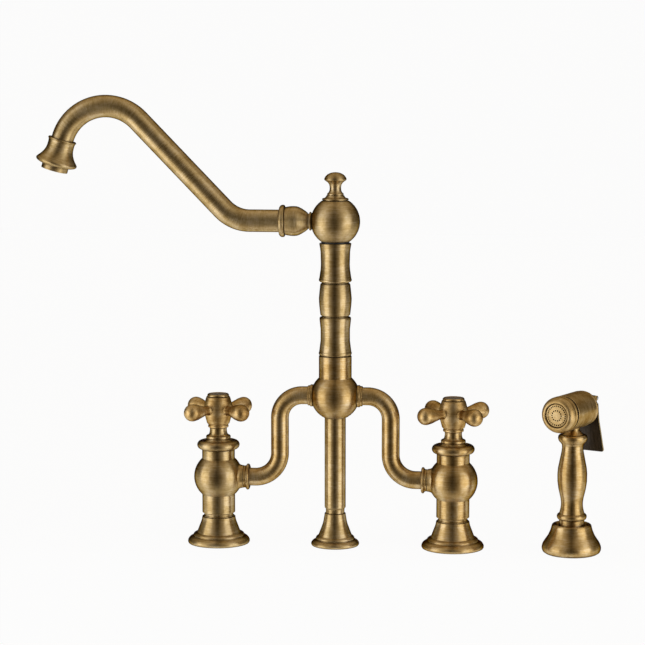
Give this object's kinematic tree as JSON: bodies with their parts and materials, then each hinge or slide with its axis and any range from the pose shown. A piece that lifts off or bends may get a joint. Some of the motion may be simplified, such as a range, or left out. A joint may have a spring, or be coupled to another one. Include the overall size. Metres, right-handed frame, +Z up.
{
  "type": "bridge kitchen faucet",
  "caption": "Bridge kitchen faucet in antique brass: cross-handle valves, curved bridge tubes, swivel gooseneck spout on a riser, and a hand spray with a lever in its own holder.",
  "frame": {"origin": "on the deck plane, on the axis of the centre leg", "axes": "+X along the bridge from the hot valve to the cold valve and on to the hand spray, -Y towards the user, +Z up"},
  "size_m": [0.488, 0.0708, 0.3867],
  "materials": {
    "antique_brass": "brushed antique brass, darker in the recesses",
    "inner_brass": "machined",
    "dark_brass": "dark aged brass",
    "steel": "brushed",
    "rubber": "matte black",
    "black_plastic": "matte black",
    "ceramic": "polished white ceramic"
  },
  "bodies": {
    "faucet": {"hot_foot": "antique_brass", "hot_foot_gasket": "rubber", "hot_body": "antique_brass", "hot_bonnet": "antique_brass", "hot_cartridge": "inner_brass", "hot_fixed_disc": "ceramic", "hot_tube_collar": "antique_brass", "hot_bridge_tube": "antique_brass", "cold_foot": "antique_brass", "cold_foot_gasket": "rubber", "cold_body": "antique_brass", "cold_bonnet": "antique_brass", "cold_cartridge": "inner_brass", "cold_fixed_disc": "ceramic", "cold_tube_collar": "antique_brass", "cold_bridge_tube": "antique_brass", "hub": "antique_brass", "left_hub_collar": "antique_brass", "right_hub_collar": "antique_brass", "leg": "antique_brass", "leg_foot": "antique_brass", "leg_gasket": "rubber", "check_valve": "black_plastic", "riser": "inner_brass", "lower_sleeve": "antique_brass", "barrel_sleeve": "antique_brass", "upper_sleeve": "antique_brass", "swivel_washer": "black_plastic", "spray_holder": "antique_brass", "holder_liner": "black_plastic"},
    "hot_handle": {"hot_handle": "antique_brass", "hot_index_cap": "antique_brass", "hot_handle_screw": "steel", "hot_stem": "inner_brass", "hot_moving_disc": "ceramic"},
    "cold_handle": {"cold_handle": "antique_brass", "cold_index_cap": "antique_brass", "cold_handle_screw": "steel", "cold_stem": "inner_brass", "cold_moving_disc": "ceramic"},
    "spout": {"spout_ball": "antique_brass", "spout_set_screw": "steel", "finial": "antique_brass", "spout_union": "antique_brass", "spout_ring": "antique_brass", "spout_tube": "antique_brass", "nozzle": "antique_brass", "aerator_ring": "antique_brass", "aerator_insert": "black_plastic"},
    "diverter": {"diverter_poppet": "black_plastic"},
    "hose_end": {"spray_coupling": "inner_brass"},
    "hand_spray": {"spray_handle": "antique_brass", "spray_head": "antique_brass", "spray_front_ring": "antique_brass", "spray_face": "antique_brass", "spray_rear_cap": "antique_brass", "lever_pin": "steel"},
    "lever": {"spray_lever": "dark_brass"},
    "plunger": {"spray_plunger": "steel", "plunger_spring": "steel"}
  },
  "joints": [
    {"name": "hot_handle_turn", "type": "hinge", "parent": "faucet", "child": "hot_handle", "pos_m": [-0.1016, 0, 0.117], "axis": [0, 0, 1], "range_deg": [0, 90]},
    {"name": "cold_handle_turn", "type": "hinge", "parent": "faucet", "child": "cold_handle", "pos_m": [0.1016, 0, 0.117], "axis": [0, 0, 1], "range_deg": [-90, 0]},
    {"name": "spout_swivel", "type": "hinge", "parent": "faucet", "child": "spout", "pos_m": [0, 0, 0.2804], "axis": [0, 0, 1], "continuous": true},
    {"name": "diverter_lift", "type": "slide", "parent": "faucet", "child": "diverter", "axis": [0, 0, 1], "range_m": [0, 0.003]},
    {"name": "spray_lift", "type": "slide", "parent": "faucet", "child": "hose_end", "axis": [0, 0, 1], "range_m": [0, 0.12]},
    {"name": "spray_turn", "type": "hinge", "parent": "hose_end", "child": "hand_spray", "pos_m": [0.2032, -0.008, 0.03], "axis": [0, 0, 1], "continuous": true},
    {"name": "lever_squeeze", "type": "hinge", "parent": "hand_spray", "child": "lever", "pos_m": [0.21516, 0.01598, 0.1304], "axis": [-0.8949, 0.4462, 0], "range_deg": [0, 9], "stiffness_Nm_per_rad": 2, "springref_deg": -2.86},
    {"name": "plunger_push", "type": "slide", "parent": "hand_spray", "child": "plunger", "axis": [-0.4462, -0.8949, 0], "range_m": [0, 0.0013]}
  ],
  "couplings": [
    {"joint": "plunger_push", "follows": "lever_squeeze", "m_per_rad": 0.008}
  ]
}
